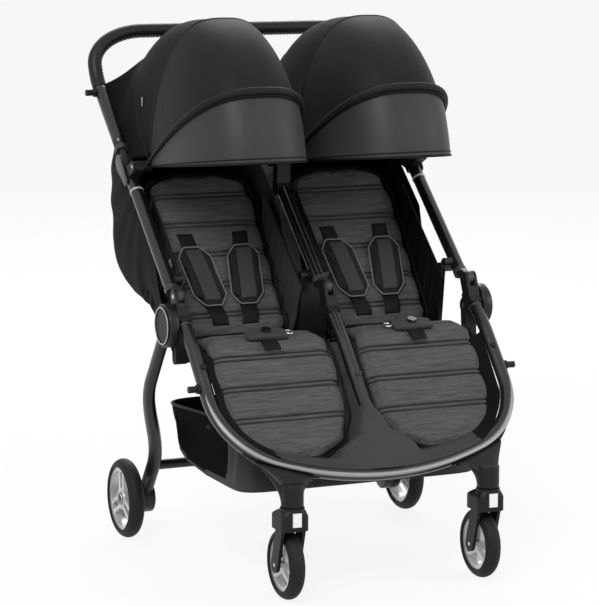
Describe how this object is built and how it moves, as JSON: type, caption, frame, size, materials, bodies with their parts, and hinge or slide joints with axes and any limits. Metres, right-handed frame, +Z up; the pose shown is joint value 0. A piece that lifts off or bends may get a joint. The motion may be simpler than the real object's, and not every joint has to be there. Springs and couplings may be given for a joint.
{
  "type": "side by side double stroller",
  "caption": "Folding side-by-side double stroller with reclining quilted seats, canopies on bows, swivel front casters, a foot brake and a hanging basket.",
  "frame": {"origin": "on the floor, centred under the bounding box", "axes": "+Z up, -Y is the way the stroller faces, so +X is towards the right seat in the picture"},
  "size_m": [0.754, 0.9466, 1.155],
  "materials": {
    "tube_black": "gloss black coated aluminium",
    "plastic_black": "satin black moulded plastic",
    "plastic_grey": "gunmetal grey moulded plastic",
    "plastic_gloss": "gloss black plastic",
    "steel": "bright steel",
    "wheel_silver": "silver coated plastic",
    "tyre": "black foamed tyre",
    "grip": "black stitched leather look",
    "fabric_charcoal": "charcoal slub weave, quilted",
    "fabric_black": "black woven cloth",
    "fabric_sling": "dark grey smooth cloth",
    "mesh_black": "black mesh",
    "webbing": "black webbing and padded sleeves"
  },
  "bodies": {
    "chassis": {"front_loop": "tube_black", "centre_spar": "tube_black", "hinge_brackets": "plastic_black", "seat_cross_tube": "tube_black", "frame_pins": "steel", "caster_brackets": "plastic_black", "frame_studs": "plastic_black", "seat_sling": "fabric_sling", "seat_pad_left": "fabric_charcoal", "seat_pad_right": "fabric_charcoal", "buckle_left": "webbing", "buckle_right": "webbing", "basket": "mesh_black"},
    "rear_frame": {"rear_leg_left": "tube_black", "rear_leg_right": "tube_black", "rear_cross_tube": "tube_black", "rear_axles": "steel", "leg_caps": "plastic_grey"},
    "brake": {"brake_pedal": "plastic_black"},
    "upper_frame": {"upper_tubes": "tube_black", "fold_knuckles": "plastic_grey", "canopy_brackets": "plastic_black", "upper_pins": "steel", "recline_frame": "tube_black", "seat_bucket_left": "fabric_black", "seat_bucket_right": "fabric_black"},
    "handle_frame": {"handle_tube": "tube_black", "handle_grip": "grip", "handle_elbows": "plastic_grey", "handle_studs": "plastic_black", "release_housing": "plastic_black"},
    "fold_release": {"fold_button": "plastic_grey"},
    "buckle_press_left": {"buckle_button_left": "plastic_gloss"},
    "back_left": {"back_pad_left": "fabric_charcoal", "back_board_left": "plastic_black", "harness_left": "webbing"},
    "hood_rear_left": {"canopy_rear_left": "fabric_black"},
    "hood_mid_left": {"canopy_mid_left": "fabric_black"},
    "hood_front_left": {"canopy_visor_left": "fabric_black", "canopy_bow_left": "fabric_black"},
    "caster_left": {"caster_fork_left": "plastic_black"},
    "caster_lock_left": {"swivel_lock_left": "wheel_silver"},
    "wheel_front_left": {"front_wheel_left": "wheel_silver", "front_tyre_left": "tyre"},
    "wheel_rear_left": {"rear_wheel_left": "wheel_silver", "rear_tyre_left": "tyre"},
    "buckle_press_right": {"buckle_button_right": "plastic_gloss"},
    "back_right": {"back_pad_right": "fabric_charcoal", "back_board_right": "plastic_black", "harness_right": "webbing"},
    "hood_rear_right": {"canopy_rear_right": "fabric_black"},
    "hood_mid_right": {"canopy_mid_right": "fabric_black"},
    "hood_front_right": {"canopy_visor_right": "fabric_black", "canopy_bow_right": "fabric_black"},
    "caster_right": {"caster_fork_right": "plastic_black"},
    "caster_lock_right": {"swivel_lock_right": "wheel_silver"},
    "wheel_front_right": {"front_wheel_right": "wheel_silver", "front_tyre_right": "tyre"},
    "wheel_rear_right": {"rear_wheel_right": "wheel_silver", "rear_tyre_right": "tyre"}
  },
  "joints": [
    {"name": "fold", "type": "hinge", "parent": "chassis", "child": "upper_frame", "pos_m": [0, -0.10709, 0.587], "axis": [1, 0, 0], "range_deg": [0, 170]},
    {"name": "handle_fold", "type": "hinge", "parent": "upper_frame", "child": "handle_frame", "pos_m": [0, 0.22349, 0.82607], "axis": [1, 0, 0], "range_deg": [-150, 0]},
    {"name": "leg_fold", "type": "hinge", "parent": "chassis", "child": "rear_frame", "pos_m": [0, -0.10734, 0.527], "axis": [1, 0, 0], "range_deg": [-50, 0]},
    {"name": "brake_press", "type": "hinge", "parent": "rear_frame", "child": "brake", "pos_m": [0, 0.15915, 0.17141], "axis": [1, 0, 0], "range_deg": [-18, 0]},
    {"name": "fold_button_press", "type": "slide", "parent": "handle_frame", "child": "fold_release", "axis": [0, -0.9304, 0.3665], "range_m": [0, 0.004], "stiffness_N_per_m": 900},
    {"name": "hood_tuck_left", "type": "hinge", "parent": "upper_frame", "child": "hood_rear_left", "pos_m": [-0.169, 0.13548, 0.83499], "axis": [1, 0, 0], "range_deg": [-120, 0]},
    {"name": "hood_open_left", "type": "hinge", "parent": "hood_rear_left", "child": "hood_front_left", "pos_m": [-0.169, 0.13548, 0.83499], "axis": [-1, 0, 0], "range_deg": [0, 100]},
    {"name": "hood_mid_turn_left", "type": "hinge", "parent": "hood_rear_left", "child": "hood_mid_left", "pos_m": [-0.169, 0.13548, 0.83499], "axis": [-1, 0, 0], "range_deg": [0, 56]},
    {"name": "recline_left", "type": "hinge", "parent": "upper_frame", "child": "back_left", "pos_m": [-0.169, -0.01534, 0.452], "axis": [1, 0, 0], "range_deg": [-22, 0]},
    {"name": "swivel_left", "type": "hinge", "parent": "chassis", "child": "caster_left", "pos_m": [-0.221, -0.43234, 0.198], "axis": [0, 0, 1], "continuous": true},
    {"name": "front_roll_left", "type": "hinge", "parent": "caster_left", "child": "wheel_front_left", "pos_m": [-0.221, -0.40034, 0.073], "axis": [1, 0, 0], "continuous": true},
    {"name": "swivel_lock_left", "type": "slide", "parent": "caster_left", "child": "caster_lock_left", "axis": [0, 0, -1], "range_m": [0, 0.006]},
    {"name": "rear_roll_left", "type": "hinge", "parent": "rear_frame", "child": "wheel_rear_left", "pos_m": [-0.342, 0.22166, 0.088], "axis": [1, 0, 0], "continuous": true},
    {"name": "buckle_press_left", "type": "slide", "parent": "chassis", "child": "buckle_press_left", "axis": [0, 0.3317, -0.9434], "range_m": [0, 0.003], "stiffness_N_per_m": 700},
    {"name": "hood_tuck_right", "type": "hinge", "parent": "upper_frame", "child": "hood_rear_right", "pos_m": [0.169, 0.13548, 0.83499], "axis": [1, 0, 0], "range_deg": [-120, 0]},
    {"name": "hood_open_right", "type": "hinge", "parent": "hood_rear_right", "child": "hood_front_right", "pos_m": [0.169, 0.13548, 0.83499], "axis": [-1, 0, 0], "range_deg": [0, 100]},
    {"name": "hood_mid_turn_right", "type": "hinge", "parent": "hood_rear_right", "child": "hood_mid_right", "pos_m": [0.169, 0.13548, 0.83499], "axis": [-1, 0, 0], "range_deg": [0, 56]},
    {"name": "recline_right", "type": "hinge", "parent": "upper_frame", "child": "back_right", "pos_m": [0.169, -0.01534, 0.452], "axis": [1, 0, 0], "range_deg": [-22, 0]},
    {"name": "swivel_right", "type": "hinge", "parent": "chassis", "child": "caster_right", "pos_m": [0.221, -0.43234, 0.198], "axis": [0, 0, 1], "continuous": true},
    {"name": "front_roll_right", "type": "hinge", "parent": "caster_right", "child": "wheel_front_right", "pos_m": [0.221, -0.40034, 0.073], "axis": [1, 0, 0], "continuous": true},
    {"name": "swivel_lock_right", "type": "slide", "parent": "caster_right", "child": "caster_lock_right", "axis": [0, 0, -1], "range_m": [0, 0.006]},
    {"name": "rear_roll_right", "type": "hinge", "parent": "rear_frame", "child": "wheel_rear_right", "pos_m": [0.342, 0.22166, 0.088], "axis": [1, 0, 0], "continuous": true},
    {"name": "buckle_press_right", "type": "slide", "parent": "chassis", "child": "buckle_press_right", "axis": [0, 0.3317, -0.9434], "range_m": [0, 0.003], "stiffness_N_per_m": 700}
  ],
  "couplings": [
    {"joint": "handle_fold", "follows": "fold", "ratio": -0.88235},
    {"joint": "leg_fold", "follows": "fold", "ratio": -0.29412},
    {"joint": "hood_tuck_left", "follows": "fold", "ratio": -0.70588},
    {"joint": "hood_mid_turn_left", "follows": "hood_open_left", "ratio": 0.56},
    {"joint": "hood_tuck_right", "follows": "fold", "ratio": -0.70588},
    {"joint": "hood_mid_turn_right", "follows": "hood_open_right", "ratio": 0.56}
  ]
}
